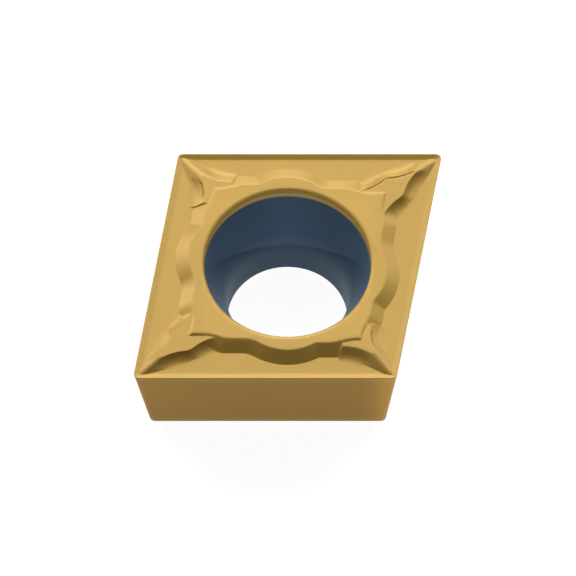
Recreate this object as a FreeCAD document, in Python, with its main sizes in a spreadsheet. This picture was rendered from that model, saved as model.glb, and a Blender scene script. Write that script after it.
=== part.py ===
import FreeCAD, Part
import math
import os

import Sketcher
from FreeCAD import Vector

# Indexable carbide turning insert, a rhombus with a screw hole and a moulded chipbreaker.
# The seat is on z = 0 with the hole's axis on Z, and two of the cutting edges run along X.
# Millimetres and degrees. A level is a height above the seat.

SIZES = {
    # the blank
    "inscribed_circle": 9.525,
    "thickness": 3.97,
    "corner_angle": 80,
    "relief_angle": 7,
    "nose_radius": 0.2,
    "floor_nose_radius": 0.04,
    # the sloping land behind the cutting edge
    "edge_hone": 0.03,
    "land_width": 0.195,
    "land_drop": 0.06,
    # the raised boss round the hole
    "boss_rise": 0.22,
    "boss_wall_run": 0.475,
    "bulge_inset": 1.095,
    "bulge_radius": 1.85,
    "acute_flat_drop": 0.49,
    "acute_joint_radius": 1.26,
    "acute_scallop_drop": 0.215,
    "acute_scallop_radius": 1.24,
    "acute_tip_flat": 0.475,
    "obtuse_flat_drop": 0.31,
    "obtuse_joint_radius": 0.527,
    "obtuse_scallop_drop": 0.205,
    "obtuse_scallop_radius": 1.9,
    # the pointed islands between the corners and the boss
    "island_rise": 0.17,
    "island_end_run": 0.15,
    "acute_spur_start": 0.3,
    "acute_spur_width": 0.12,
    "acute_crest_width": 0.12,
    "acute_spur_angle": 47,
    "acute_ramp_length": 0.99,
    "acute_knee_inset": 0.5,
    "acute_island_end": 3.3,
    "obtuse_spur_start": 0.12,
    "obtuse_spur_width": 0.09,
    "obtuse_crest_width": 0.15,
    "obtuse_spur_angle": 45.3,
    "obtuse_ramp_length": 1.18,
    "obtuse_knee_inset": 0.62,
    "obtuse_island_end": 2.12,
    # the scoops that hollow the islands' walls
    "knee_wall_run": 0.45,
    "scoop_foot_radius": 0.55,
    "acute_scoop_slope": 52,
    "obtuse_scoop_slope": 33,
    "nose_scoop_along": 2.11,
    "nose_scoop_outside": 0.955,
    "nose_scoop_radius": 2.045,
    "boss_scoop_along": 3.46,
    "boss_scoop_outside": 0.14,
    "boss_scoop_radius": 1.84,
    "obtuse_scoop_along": 1.96,
    "obtuse_scoop_outside": 0.525,
    "obtuse_scoop_radius": 1.8,
    # the screw hole
    "bore_diameter": 4.4,
    "bore_chamfer": 0.1,
    "sink_corner": 1.85,
    "mouth_diameter": 6.1,
    "mouth_chamfer": 0.06,
    "mouth_depth": 0.15,
    "rim_radius": 0.16,
    "sink_blend_radius": 3,
}

# Levels and outlines that follow from the driving dimensions.
FORMULAS = {
    "edge_radius": "inscribed_circle / 2",
    "seat_radius": "edge_radius - thickness * tan(relief_angle)",
    "hone_inset_radius": "edge_radius - edge_hone",
    "floor_radius": "hone_inset_radius - land_width",
    "floor_level": "thickness - land_drop",
    "island_level": "thickness + island_rise",
    "boss_level": "thickness + boss_rise",
    "island_height": "island_level - floor_level",
    "hone_nose_radius": "nose_radius - edge_hone",
    "bore_radius": "bore_diameter / 2",
    "mouth_radius": "mouth_diameter / 2",
}

NODE = "insert_body"
CLEAR = 0.5  # how far a cutter reaches past the face that it opens
FOOT_SHARE = 0.95  # the most of a scoop wall's height that its rounded foot may take


def make_sheet(doc):
    """The spreadsheet of driving dimensions, one alias a row."""
    sheet = doc.addObject("Spreadsheet::Sheet", "dims")
    cells = {alias: str(value) for alias, value in SIZES.items()}
    cells.update({alias: "=" + formula for alias, formula in FORMULAS.items()})
    for row, (alias, text) in enumerate(cells.items(), start=1):
        sheet.set("A%d" % row, alias)
        sheet.set("B%d" % row, text)
        sheet.setAlias("B%d" % row, alias)
    doc.recompute()
    return sheet


def size(sheet, alias):
    """A value of the sheet as a plain number."""
    return float(sheet.get(alias))


def new_body(doc, name):
    """A body with a label of its own."""
    body = doc.addObject("PartDesign::Body", name)
    body.Label = name
    return body


def origin_plane(body, role):
    """One of the body's own origin planes."""
    return next(item for item in body.Origin.OriginFeatures if item.Role == role)


def level_sketch(body, name, level):
    """A sketch parallel to the seat, at a level of the sheet."""
    sketch = body.newObject("Sketcher::SketchObject", name)
    sketch.AttachmentSupport = (origin_plane(body, "XY_Plane"), [""])
    sketch.MapMode = "FlatFace"
    if level:
        sketch.setExpression("AttachmentOffset.Base.z", "dims." + level)
    return sketch


def ruled_loft(body, kind, name, lower, upper):
    """A straight-walled additive or subtractive loft between two sketches."""
    loft = body.newObject(kind, name)
    loft.Profile = lower
    loft.Sections = [upper]
    loft.Ruled = True
    return loft


def join_ends(sketch, count):
    """Tie each edge of a closed chain to the next at the ends that coincide."""
    for index in range(count):
        following = (index + 1) % count
        pairs = [(a, b) for a in (1, 2) for b in (1, 2)]
        nearest = min(pairs, key=lambda pair: sketch.getPoint(index, pair[0]).distanceToPoint(
            sketch.getPoint(following, pair[1])))
        sketch.addConstraint(Sketcher.Constraint(
            "Coincident", index, nearest[0], following, nearest[1]))


def add_chain(sketch, pieces):
    """Draw a closed chain of lines (two points) and arcs (three points)."""
    for points in pieces:
        if len(points) == 2:
            sketch.addGeometry(Part.LineSegment(*points))
            continue
        first, middle, last = points
        turn = (middle - first).cross(last - middle).z
        ends = (first, last) if turn > 0 else (last, first)
        sketch.addGeometry(Part.Arc(ends[0], middle, ends[1]))
    join_ends(sketch, len(pieces))


def rhombus_sketch(sheet, body, name, level, circle, nose):
    """A rhombus with rounded corners, its sides tangent to a circle of the sheet."""
    sketch = level_sketch(body, name, level)
    radius = size(sheet, circle)
    nose_radius = size(sheet, nose)
    half = math.radians(size(sheet, "corner_angle") / 2)
    acute = Vector(radius / math.tan(half), radius, 0)
    obtuse = Vector(-radius * math.tan(half), radius, 0)
    corners = [acute, obtuse, -acute, -obtuse]
    lines = []
    for start, end in zip(corners, corners[1:] + corners[:1]):
        along = (end - start).normalize() * nose_radius
        lines.append(sketch.addGeometry(Part.LineSegment(start + along, end - along)))
    arcs = []
    for index, corner in enumerate(corners):
        inward = (Vector() - corner).normalize()
        opening = half if index % 2 == 0 else math.pi / 2 - half
        centre = corner + inward * (nose_radius / math.sin(opening))
        facing = math.atan2(-inward.y, -inward.x)
        spread = math.pi / 2 - opening
        circle_of_nose = Part.Circle(centre, Vector(0, 0, 1), nose_radius)
        arcs.append(sketch.addGeometry(
            Part.ArcOfCircle(circle_of_nose, facing - spread, facing + spread)))
    for index in range(4):
        sketch.addConstraint(Sketcher.Constraint("Tangent", arcs[index], 2, lines[index], 1))
        sketch.addConstraint(Sketcher.Constraint("Tangent", lines[index], 2, arcs[(index + 1) % 4], 1))
    sketch.addConstraint(Sketcher.Constraint("Horizontal", lines[0]))
    sketch.addConstraint(Sketcher.Constraint("Horizontal", lines[2]))
    sketch.addConstraint(Sketcher.Constraint("Parallel", lines[1], lines[3]))
    slant = sketch.addConstraint(Sketcher.Constraint("Angle", lines[3], 2 * half))
    sketch.setExpression("Constraints[%d]" % slant, "dims.corner_angle * 1 deg")
    for line in lines:
        reach = sketch.addConstraint(Sketcher.Constraint("Distance", -1, 1, line, radius))
        sketch.setExpression("Constraints[%d]" % reach, "dims." + circle)
    for arc in arcs:
        bend = sketch.addConstraint(Sketcher.Constraint("Radius", arc, nose_radius))
        sketch.setExpression("Constraints[%d]" % bend, "dims." + nose)
    return sketch


def make_blank(doc, sheet):
    """The relieved rhombic body with its honed cutting edge and sloping land."""
    body = new_body(doc, "blank")
    seat = rhombus_sketch(sheet, body, "seat_outline", None, "seat_radius", "nose_radius")
    edge = rhombus_sketch(sheet, body, "edge_outline", "thickness", "edge_radius", "nose_radius")
    ruled_loft(body, "PartDesign::AdditiveLoft", "relieved_flanks", seat, edge)
    doc.recompute()
    outer = rhombus_sketch(
        sheet, body, "land_outer", "thickness", "hone_inset_radius", "hone_nose_radius")
    inner = rhombus_sketch(
        sheet, body, "land_inner", "floor_level", "floor_radius", "floor_nose_radius")
    ruled_loft(body, "PartDesign::SubtractiveLoft", "land", outer, inner)
    return body


def side_point(sheet, along, inset):
    """A point on the back side: along it from the acute corner, and in from its edge."""
    radius = size(sheet, "edge_radius")
    half = math.radians(size(sheet, "corner_angle") / 2)
    return Vector(radius / math.tan(half) - along, radius - inset, 0)


def mirrored(point, axis):
    """The mirror image of a point in a line through the origin."""
    return axis * (2 * point.dot(axis)) - point


def round_outline(sheet, side):
    """The whole outline from the pieces of its back side, which runs acute to obtuse."""
    half = math.radians(size(sheet, "corner_angle") / 2)
    short_diagonal = Vector(-math.sin(half), math.cos(half), 0)
    next_side = [[mirrored(p, short_diagonal) for p in reversed(piece)] for piece in reversed(side)]
    half_way = side + next_side
    return half_way + [[-p for p in piece] for piece in half_way]


def swing(sheet, drop, joint, offset):
    """Points of the double bend from the bulge's peak down to a flat, as offsets along and in."""
    total = size(sheet, "bulge_radius") + size(sheet, joint)
    turn = math.acos(1 - size(sheet, drop) / total)
    bulge = size(sheet, "bulge_radius") + offset
    bend = size(sheet, joint) - offset
    fall = size(sheet, drop)
    run = total * math.sin(turn)
    on_bulge = [(bulge * math.sin(a), bulge * (1 - math.cos(a))) for a in (turn / 2, turn)]
    on_bend = [(run - bend * math.sin(a), fall - bend * (1 - math.cos(a))) for a in (turn / 2, 0)]
    return [(0.0, 0.0)] + on_bulge + on_bend


def boss_side(sheet, offset):
    """One side of the boss from its acute tip to its obtuse tip, spread outward by the offset."""
    half = math.radians(size(sheet, "corner_angle") / 2)
    radius = size(sheet, "edge_radius")
    middle = radius / math.tan(half)
    length = middle + radius * math.tan(half)
    peak = size(sheet, "bulge_inset") - offset
    acute_flat = peak + size(sheet, "acute_flat_drop")
    obtuse_flat = peak + size(sheet, "obtuse_flat_drop")

    # the acute tip: a short flat, then a hollow arc that ends on the acute flat
    tip_inset = acute_flat + size(sheet, "acute_scallop_drop")
    true_tip_inset = tip_inset + offset
    hollow = size(sheet, "acute_scallop_radius") - offset
    hollow_along = true_tip_inset / math.tan(half) + size(sheet, "acute_tip_flat")
    hollow_inset = tip_inset - hollow
    reach = math.acos((acute_flat - hollow_inset) / hollow)
    tip = side_point(sheet, tip_inset / math.tan(half), tip_inset)
    hollow_points = [
        side_point(sheet, hollow_along + hollow * math.sin(a), hollow_inset + hollow * math.cos(a))
        for a in (0, reach / 2, reach)
    ]

    # the double bends on both sides of the bulge
    acute_bend = [
        side_point(sheet, middle - along, peak + drop)
        for along, drop in swing(sheet, "acute_flat_drop", "acute_joint_radius", offset)
    ]
    obtuse_bend = [
        side_point(sheet, middle + along, peak + drop)
        for along, drop in swing(sheet, "obtuse_flat_drop", "obtuse_joint_radius", offset)
    ]

    # the obtuse tip: one hollow arc from the obtuse flat to the short diagonal
    end_inset = obtuse_flat + size(sheet, "obtuse_scallop_drop")
    end_hollow = size(sheet, "obtuse_scallop_radius") - offset
    end_along = length - (end_inset + offset) * math.tan(half)
    end_centre = end_inset - end_hollow
    end_reach = math.acos((obtuse_flat - end_centre) / end_hollow)
    centre = side_point(sheet, end_along, end_centre)
    short_diagonal = Vector(-math.sin(half), math.cos(half), 0)
    foot = short_diagonal * centre.dot(short_diagonal)
    gap = (centre - foot).Length
    end_tip = foot - short_diagonal * math.sqrt(end_hollow ** 2 - gap ** 2)
    past = math.asin((centre.x - end_tip.x) / end_hollow)
    end_points = [
        side_point(sheet, end_along + end_hollow * math.sin(a), end_centre + end_hollow * math.cos(a))
        for a in (-end_reach, (past - end_reach) / 2, past)
    ]

    return [
        [tip, hollow_points[0]],
        hollow_points,
        [hollow_points[2], acute_bend[4]],
        [acute_bend[4], acute_bend[3], acute_bend[2]],
        [acute_bend[2], acute_bend[0], obtuse_bend[2]],
        [obtuse_bend[2], obtuse_bend[3], obtuse_bend[4]],
        [obtuse_bend[4], end_points[0]],
        end_points,
    ]


def make_boss(doc, sheet):
    """The raised boss, bulged at the middle of each side and scalloped towards each corner."""
    body = new_body(doc, "boss")
    foot = level_sketch(body, "boss_foot", "floor_level")
    add_chain(foot, round_outline(sheet, boss_side(sheet, size(sheet, "boss_wall_run"))))
    top = level_sketch(body, "boss_top", "boss_level")
    add_chain(top, round_outline(sheet, boss_side(sheet, 0.0)))
    ruled_loft(body, "PartDesign::AdditiveLoft", "boss_loft", foot, top)
    return body


def corner_frame(sheet, kind):
    """A corner of the cutting edge, with the ways inward along its diagonal and across it."""
    half = math.radians(size(sheet, "corner_angle") / 2)
    radius = size(sheet, "edge_radius")
    if kind == "acute":
        corner = Vector(radius / math.tan(half), radius, 0)
        inward = Vector(-math.cos(half), -math.sin(half), 0)
    else:
        corner = Vector(-radius * math.tan(half), radius, 0)
        inward = Vector(math.sin(half), -math.cos(half), 0)
    return corner, inward, Vector(-inward.y, inward.x, 0)


def island_half(sheet, kind, top):
    """Half an island's outline at its foot or top, as points (along, across) the diagonal."""
    opening = math.radians(size(sheet, "corner_angle") / 2)
    if kind == "obtuse":
        opening = math.pi / 2 - opening
    flare = math.radians(size(sheet, kind + "_spur_angle") / 2)
    along = size(sheet, kind + "_spur_start")
    width = size(sheet, kind + "_spur_width") / 2
    inset = size(sheet, kind + "_knee_inset")
    end = size(sheet, kind + "_island_end")
    if top:
        along += size(sheet, kind + "_ramp_length")
        width = size(sheet, kind + "_crest_width") / 2
        inset += size(sheet, "knee_wall_run")
        end -= size(sheet, "island_end_run")

    def from_side(side_along, side_inset):
        return (
            side_along * math.cos(opening) + side_inset * math.sin(opening),
            side_along * math.sin(opening) - side_inset * math.cos(opening),
        )

    start_inset = along * math.sin(opening) - width * math.cos(opening)
    reach = (inset - start_inset) / math.sin(opening - flare)
    knee = (along + reach * math.cos(flare), width + reach * math.sin(flare))
    return [(along, width), knee, from_side(end, inset), from_side(end, end * math.tan(opening))]


def island_outline(sheet, kind, top):
    """An island's closed outline, the same on both sides of its corner's diagonal."""
    corner, inward, across = corner_frame(sheet, kind)
    half = island_half(sheet, kind, top)
    left = [corner + inward * q + across * p for q, p in half]
    right = [corner + inward * q - across * p for q, p in half[:-1]]
    ring = left + right[::-1]
    return [[start, end] for start, end in zip(ring, ring[1:] + ring[:1])]


def scoop_profile(sheet, kind, radius):
    """Half the section of a scoop: a flat bottom, a rounded foot, a sloping wall and a flat top."""
    slope = math.radians(size(sheet, kind + "_scoop_slope"))
    height = size(sheet, "island_height")
    foot_radius = min(size(sheet, "scoop_foot_radius"), FOOT_SHARE * height / (1 - math.cos(slope)))
    wall_foot = radius - (height - foot_radius * (1 - math.cos(slope))) / math.tan(slope)
    flat_end = wall_foot - foot_radius * math.sin(slope)
    foot = [
        Vector(flat_end + foot_radius * math.sin(a), foot_radius * (1 - math.cos(a)), 0)
        for a in (0, slope / 2, slope)
    ]
    axis_foot = Vector()
    axis_top = Vector(0, height, 0)
    rim = Vector(radius, height, 0)
    return [[axis_foot, foot[0]], foot, [foot[2], rim], [rim, axis_top], [axis_top, axis_foot]]


def add_scoop(sheet, body, name, centre, kind, radius):
    """Cut one upright scoop out of an island by turning its section about the scoop's axis."""
    sketch = body.newObject("Sketcher::SketchObject", name + "_section")
    sketch.AttachmentSupport = (origin_plane(body, "XZ_Plane"), [""])
    sketch.MapMode = "FlatFace"
    sketch.AttachmentOffset = FreeCAD.Placement(Vector(centre.x, 0, -centre.y), FreeCAD.Rotation())
    sketch.setExpression("AttachmentOffset.Base.y", "dims.floor_level")
    add_chain(sketch, scoop_profile(sheet, kind, radius))
    groove = body.newObject("PartDesign::Groove", name)
    groove.Profile = sketch
    groove.ReferenceAxis = (sketch, ["V_Axis"])
    groove.Angle = 360


def make_island(doc, sheet, kind, scoops):
    """A pointed island in one corner, hollowed by scoops on both sides of its diagonal."""
    name = kind + "_island"
    body = new_body(doc, name)
    foot = level_sketch(body, name + "_foot", "floor_level")
    add_chain(foot, island_outline(sheet, kind, False))
    top = level_sketch(body, name + "_top", "island_level")
    add_chain(top, island_outline(sheet, kind, True))
    ruled_loft(body, "PartDesign::AdditiveLoft", name + "_loft", foot, top)
    doc.recompute()
    corner, inward, _ = corner_frame(sheet, kind)
    towards_middle = -1 if kind == "acute" else 1
    for scoop in scoops:
        along = size(sheet, scoop + "_along")
        outside = size(sheet, scoop + "_outside")
        radius = size(sheet, scoop + "_radius")
        offset = Vector(towards_middle * along, outside, 0)
        for twin, place in (("", offset), ("_twin", mirrored(offset, inward))):
            add_scoop(sheet, body, scoop + twin, corner + place, kind, radius)
    doc.recompute()
    return body


def opposite(doc, source, name, normal):
    """The same feature at the opposite corner."""
    copy = doc.addObject("Part::Mirroring", name)
    copy.Source = source
    copy.Base = Vector()
    copy.Normal = normal
    return copy


def hole_profile(sheet):
    """Half the section of the screw hole: chamfer, bore, countersink, mouth and rounded rim."""
    bore = size(sheet, "bore_radius")
    chamfer = size(sheet, "bore_chamfer")
    mouth = size(sheet, "mouth_radius")
    lip = size(sheet, "mouth_chamfer")
    rim = size(sheet, "rim_radius")
    blend = size(sheet, "sink_blend_radius")
    crown = size(sheet, "boss_level")
    mouth_level = size(sheet, "thickness") - size(sheet, "mouth_depth")

    # the countersink runs from the mouth's lip to its corner with the bore, which is rounded off
    sink_corner = Vector(bore, size(sheet, "sink_corner"), 0)
    sink_top = Vector(mouth - lip, mouth_level - lip, 0)
    slope = math.atan2(sink_top.x - sink_corner.x, sink_top.y - sink_corner.y)
    wall_top = sink_corner.y - blend * math.tan(slope / 2)
    blend_centre = Vector(bore + blend, wall_top, 0)
    print("bore wall from %.4f to %.4f" % (chamfer, wall_top))

    def on_blend(angle):
        return blend_centre - Vector(blend * math.cos(angle), -blend * math.sin(angle), 0)

    wide = bore + chamfer + CLEAR
    corner = rim * (1 - math.sqrt(0.5))
    points = {
        "axis_foot": Vector(0, -CLEAR, 0),
        "wide_foot": Vector(wide, -CLEAR, 0),
        "bore_foot": Vector(bore, chamfer, 0),
        "bore_top": on_blend(0),
        "sink_foot": on_blend(slope),
        "sink_top": sink_top,
        "mouth_foot": Vector(mouth, mouth_level, 0),
        "rim_foot": Vector(mouth, crown - rim, 0),
        "rim_top": Vector(mouth + rim, crown, 0),
        "clear_top": Vector(mouth + rim, crown + CLEAR, 0),
        "axis_top": Vector(0, crown + CLEAR, 0),
    }
    bends = {
        "bore_top": on_blend(slope / 2),
        "rim_foot": Vector(mouth + corner, crown - corner, 0),
    }
    names = list(points)
    pieces = []
    for name, following in zip(names, names[1:] + names[:1]):
        middle = [bends[name]] if name in bends else []
        pieces.append([points[name]] + middle + [points[following]])
    return pieces


def make_hole(doc, sheet):
    """The screw hole as a solid to cut, turned about its axis."""
    body = new_body(doc, "screw_hole")
    sketch = body.newObject("Sketcher::SketchObject", "hole_profile")
    sketch.AttachmentSupport = (origin_plane(body, "XZ_Plane"), [""])
    sketch.MapMode = "FlatFace"
    add_chain(sketch, hole_profile(sheet))
    turned = body.newObject("PartDesign::Revolution", "hole_turned")
    turned.Profile = sketch
    turned.ReferenceAxis = (sketch, ["V_Axis"])
    turned.Angle = 360
    return body


def make_insert(doc, sheet):
    """The whole insert: blank, boss and islands as one piece, with the hole cut through."""
    blank = make_blank(doc, sheet)
    boss = make_boss(doc, sheet)
    acute = make_island(doc, sheet, "acute", ("nose_scoop", "boss_scoop"))
    obtuse = make_island(doc, sheet, "obtuse", ("obtuse_scoop",))
    far_acute = opposite(doc, acute, "acute_island_far", corner_frame(sheet, "acute")[1])
    far_obtuse = opposite(doc, obtuse, "obtuse_island_far", corner_frame(sheet, "obtuse")[1])
    doc.recompute()
    moulded = doc.addObject("Part::MultiFuse", "moulded_insert")
    moulded.Shapes = [blank, boss, acute, far_acute, obtuse, far_obtuse]
    moulded.Refine = True
    hole = make_hole(doc, sheet)
    doc.recompute()
    insert = doc.addObject("Part::Cut", NODE)
    insert.Base = moulded
    insert.Tool = hole
    insert.Refine = True
    insert.Label = NODE
    doc.recompute()
    return insert


def check(doc, insert):
    """Stop if any object failed, or if the insert isn't one sound solid."""
    for item in doc.Objects:
        if "Invalid" in item.State or "Error" in item.State:
            raise RuntimeError("%s failed: %s" % (item.Name, item.State))
    shape = insert.Shape
    if shape.isNull() or not shape.isValid():
        raise RuntimeError("the insert's shape isn't sound")
    if len(shape.Solids) != 1:
        raise RuntimeError("the insert came out as %d solids" % len(shape.Solids))


document = FreeCAD.newDocument("carbide_insert")
dims = make_sheet(document)
insert_body = make_insert(document, dims)
check(document, insert_body)
os.makedirs("parts", exist_ok=True)
insert_body.Shape.Solids[0].exportStep("parts/%s.step" % NODE)
box = insert_body.Shape.optimalBoundingBox(False, False)
print("%s: %.3f x %.3f x %.3f mm" % (NODE, box.XLength, box.YLength, box.ZLength))
print("volume %.3f mm3, %d faces" % (insert_body.Shape.Volume, len(insert_body.Shape.Faces)))
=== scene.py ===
import math

import bmesh
import bpy
import numpy as np
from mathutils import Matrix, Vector
from mathutils.geometry import delaunay_2d_cdt


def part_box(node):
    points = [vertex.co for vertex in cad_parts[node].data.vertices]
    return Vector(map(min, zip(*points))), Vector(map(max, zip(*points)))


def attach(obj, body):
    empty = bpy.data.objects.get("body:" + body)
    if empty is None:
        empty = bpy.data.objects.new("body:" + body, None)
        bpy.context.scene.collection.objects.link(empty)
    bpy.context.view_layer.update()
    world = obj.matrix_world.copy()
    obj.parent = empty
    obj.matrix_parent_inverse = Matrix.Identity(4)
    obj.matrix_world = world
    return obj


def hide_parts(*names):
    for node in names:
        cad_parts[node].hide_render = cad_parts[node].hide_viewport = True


# Rhombic carbide turning insert with a gold coating and a dark blue-grey screw hole.
# The forms are worked out in millimetres, as heights over the plan, and the mesh is made in metres.

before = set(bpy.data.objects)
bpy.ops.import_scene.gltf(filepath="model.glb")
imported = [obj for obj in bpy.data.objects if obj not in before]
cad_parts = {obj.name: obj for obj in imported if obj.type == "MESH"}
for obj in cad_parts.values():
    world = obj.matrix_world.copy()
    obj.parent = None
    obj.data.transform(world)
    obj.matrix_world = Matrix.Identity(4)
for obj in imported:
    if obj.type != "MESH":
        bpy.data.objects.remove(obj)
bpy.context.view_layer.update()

MM = 0.001

# The blank. Its height and reach are read from the frame. Its back side runs along X, from OBTUSE_CORNER to
# the acute corner at MIDDLE, and its bulge is at X 0, where the side is nearest to the hole.
box_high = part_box("insert_body")[1]
BOSS_LEVEL = box_high.z / MM
INSCRIBED_RADIUS = box_high.y / MM
THICKNESS = 3.97
HALF_ANGLE = math.radians(40)
OBTUSE_HALF_ANGLE = math.pi / 2 - HALF_ANGLE
RELIEF = math.radians(7)
NOSE_RADIUS = 0.2
SEAT_RADIUS = INSCRIBED_RADIUS - THICKNESS * math.tan(RELIEF)
SEAT_EDGE = 0.02
MIDDLE = INSCRIBED_RADIUS / math.tan(HALF_ANGLE)
OBTUSE_CORNER = -INSCRIBED_RADIUS * math.tan(HALF_ANGLE)
SIDE_LENGTH = MIDDLE - OBTUSE_CORNER

# The hone, the sloping land and the floor.
HONE = 0.03
HONE_DROP = 0.01
LAND = 0.195
LAND_DROP = 0.06
FLOOR_INSET = HONE + LAND
FLOOR_NOSE_RADIUS = 0.04
FLOOR_LEVEL = THICKNESS - LAND_DROP

# The boss round the hole. Its wall follows parallel curves of the top's outline.
BOSS_WALL_RUN = 0.475
BULGE_INSET = 1.095
BULGE_RADIUS = 1.85
ACUTE_FLAT_INSET = BULGE_INSET + 0.49
ACUTE_JOINT_RADIUS = 1.26
ACUTE_TIP_INSET = ACUTE_FLAT_INSET + 0.215
ACUTE_TIP_FLAT = 0.475
ACUTE_SCALLOP_RADIUS = 1.24
OBTUSE_FLAT_INSET = BULGE_INSET + 0.31
OBTUSE_JOINT_RADIUS = 0.527
OBTUSE_TIP_INSET = OBTUSE_FLAT_INSET + 0.205
OBTUSE_SCALLOP_RADIUS = 1.9

# The sides of the insert that differ by their fine grooves. The left and right ones run aslant.
BACK, ASLANT, FRONT = 0, 1, 2

# The islands between the corners and the boss. A scoop is its centre, along and in from the side, and radius.
# The fine groove along a scoop's rim has its start and end along the side, and its size: how far its bottom
# lies outside the rim, the runs of its outer and inner slopes, and its depth.
ISLAND_HEIGHT = 0.23
ISLAND_END_RUN = 0.15
KNEE_WALL_RUN = 0.45
SCOOP_FOOT_RADIUS = 0.55
GROOVE_FADE = 0.3
GROOVE_CLEAR = 0.02
ACUTE_ISLAND = {
    "opening": HALF_ANGLE,
    "start": 0.3,
    "foot_half_width": 0.06,
    "crest_half_width": 0.06,
    "flare": math.radians(23.5),
    "ramp": 0.99,
    "knee": 0.5,
    "end": 3.3,
    "slope": math.radians(52),
    "scoops": ((2.11, -0.955, 2.045), (3.46, -0.14, 1.84)),
    "grooves": ((0.9, 2.3), (1.9, 3.3)),
    "groove_size": (0.045, 0.045, 0.045, 0.035),
    "grooved_side": BACK,
}
OBTUSE_ISLAND = {
    "opening": OBTUSE_HALF_ANGLE,
    "start": 0.12,
    "foot_half_width": 0.045,
    "crest_half_width": 0.075,
    "flare": math.radians(22.65),
    "ramp": 1.18,
    "knee": 0.62,
    "end": 2.12,
    "slope": math.radians(33),
    "scoops": ((1.96, -0.525, 1.8),),
    "grooves": ((0.9, 2.0),),
    "groove_size": (-0.05, 0.06, 0.06, 0.085),
    "grooved_side": ASLANT,
}

# The screw hole.
BORE_RADIUS = 2.2
BORE_CHAMFER = 0.1
SEAT_HOLE_RADIUS = BORE_RADIUS + BORE_CHAMFER
MOUTH_RADIUS = 3.05
MOUTH_CHAMFER = 0.06
MOUTH_LEVEL = THICKNESS - 0.15
RIM_RADIUS = 0.16
RIM_REACH = MOUTH_RADIUS + RIM_RADIUS
SINK_CORNER = 1.85
SINK_BLEND = 3.0

# How round the edges are: the difference in height over which two surfaces blend. SHARP is hardly a blend.
EDGE_BLEND = 0.012
FOOT_BLEND = 0.005
SCOOP_RIDGE_BLEND = 0.12
BOSS_CORNER_BLEND = 0.08
JOIN_BLEND = 0.08
SHARP = 1e-6

# The offset of a wall that isn't there, and the step between the part numbers of one surface and the next.
FAR_INSIDE = -9.0
SURFACE_PARTS = 10

# The mesh: its steps along a crease and an outline, beside a crease, and over the open surfaces and the seat,
# and how far apart points are kept. EDGE_HOLD is the width of the narrow faces that keep an edge crisp.
CREASE_STEP = 0.03
OUTLINE_STEP = CREASE_STEP * 2
CREASE_SIDE = 0.013
OPEN_STEP = 0.06
SEAT_STEP = OPEN_STEP * 4
JUNCTION_CLEAR = CREASE_STEP / 2
ALONG_CLEAR = CREASE_STEP * 0.8
BESIDE_CLEAR = CREASE_SIDE * 0.7
CREASE_CLEAR = 0.03
HOLE_STEPS = 96
ARC_POINTS = 9
FLANK_LEVELS = (3.6, 2.8, 2.0, 1.2, 0.4)
EDGE_HOLD = 0.01
MERGE = 0.0002

# How closely insets, creases and junctions are searched for. The rays point all round from a crease, and it
# has a clear direction where those on one side add up to more than CLEAR_RAYS.
INSET_HALVINGS = 24
SCAN_STEP = 0.035
CREASE_HALVINGS = 14
JUNCTION_CELLS = 12
CREASE_NUDGE = 1e-5
CREASE_RAYS = 24
CLEAR_RAYS = 4

# How points are triangulated: over the inside of their border, and as one where they are this near.
INSIDE_TRIANGLES = 1
SAME_POINT = 1e-7

# The exact normals: the step for their slopes, and how far under the floor and outside the rim they are used.
NORMAL_STEP = 0.002
NORMAL_DEPTH = 0.01
NORMAL_CLEAR = 0.001

# The finishes' places in the mesh's list, the flanks' one with painted shade, and the most that a flank's
# normal turns up or down.
MOULDED_FINISH, SHADED_FLANK_FINISH, HOLE_FINISH = 0, 1, 2
FLANK_TURN = 0.3

# Colours, linear.
GOLD = (0.667, 0.406, 0.065)
# Painted highlight: a paler gold that the rounded edges are mixed towards.
GOLD_HIGHLIGHT_COLOUR = (0.70, 0.50, 0.20)
# Painted shade: the flanks' gold, darker and deeper than the top's, stands in for the shade on the sides.
FLANK_GOLD_SHADED = (0.63, 0.353, 0.046)
BLUE_GREY = (0.105, 0.175, 0.265)
# Painted highlight: a paler blue-grey that the rounded edges are mixed towards.
BLUE_GREY_HIGHLIGHT_COLOUR = (0.2, 0.28, 0.38)

# The coatings' shine, grain and painted highlight on rounded edges. The grain's height is in metres.
MOULDED_SHINE = {
    "Metallic": 0.35,
    "Roughness": 0.5,
    "Specular IOR Level": 0.3,
    "Coat Weight": 0.7,
    "Coat Roughness": 0.42,
}
FLANK_SHINE = {"Metallic": 0.35, "Roughness": 0.5, "Specular IOR Level": 0.1}
HOLE_SHINE = {"Metallic": 0.3, "Roughness": 0.55, "Specular IOR Level": 0.1}
GOLD_GRAIN = {"Grain Scale": 9000.0, "Grain Depth": 0.1, "Mottle Scale": 500.0, "Mottle": 0.05}
HOLE_GRAIN = {"Grain Scale": 7000.0, "Grain Depth": 0.15, "Mottle Scale": 900.0, "Mottle": 0.08}
GRAIN_HEIGHT = 0.00001
# Painted highlight: how much the rounded edges are paled, and how noise breaks it up.
GOLD_HIGHLIGHT_MIX = {"Amount": 0.5, "Break Up": 0.4}
HOLE_HIGHLIGHT_MIX = {"Amount": 0.3, "Break Up": 0.4}
HIGHLIGHT_BREAK_UP_SCALE = 2500.0
EDGE_MASK = "rounded_edge"

# A Mix node's colour inputs and output, by number, because their names repeat.
MIX_COLOURS = (6, 7)
MIX_RESULT = 2

# The floor, a slab with its sizes in millimetres. Its top lies FLOOR_GAP under the seat, and reaches
# FLOOR_LAP in under the seat's outline.
FLOOR_TONE = 0.35
FLOOR_ROUGHNESS = 0.9
FLOOR_GLOW = 0.94
FLOOR_REACH = 2000
FLOOR_DEPTH = 50
FLOOR_GAP = 0.01
FLOOR_LAP = 0.1

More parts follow.
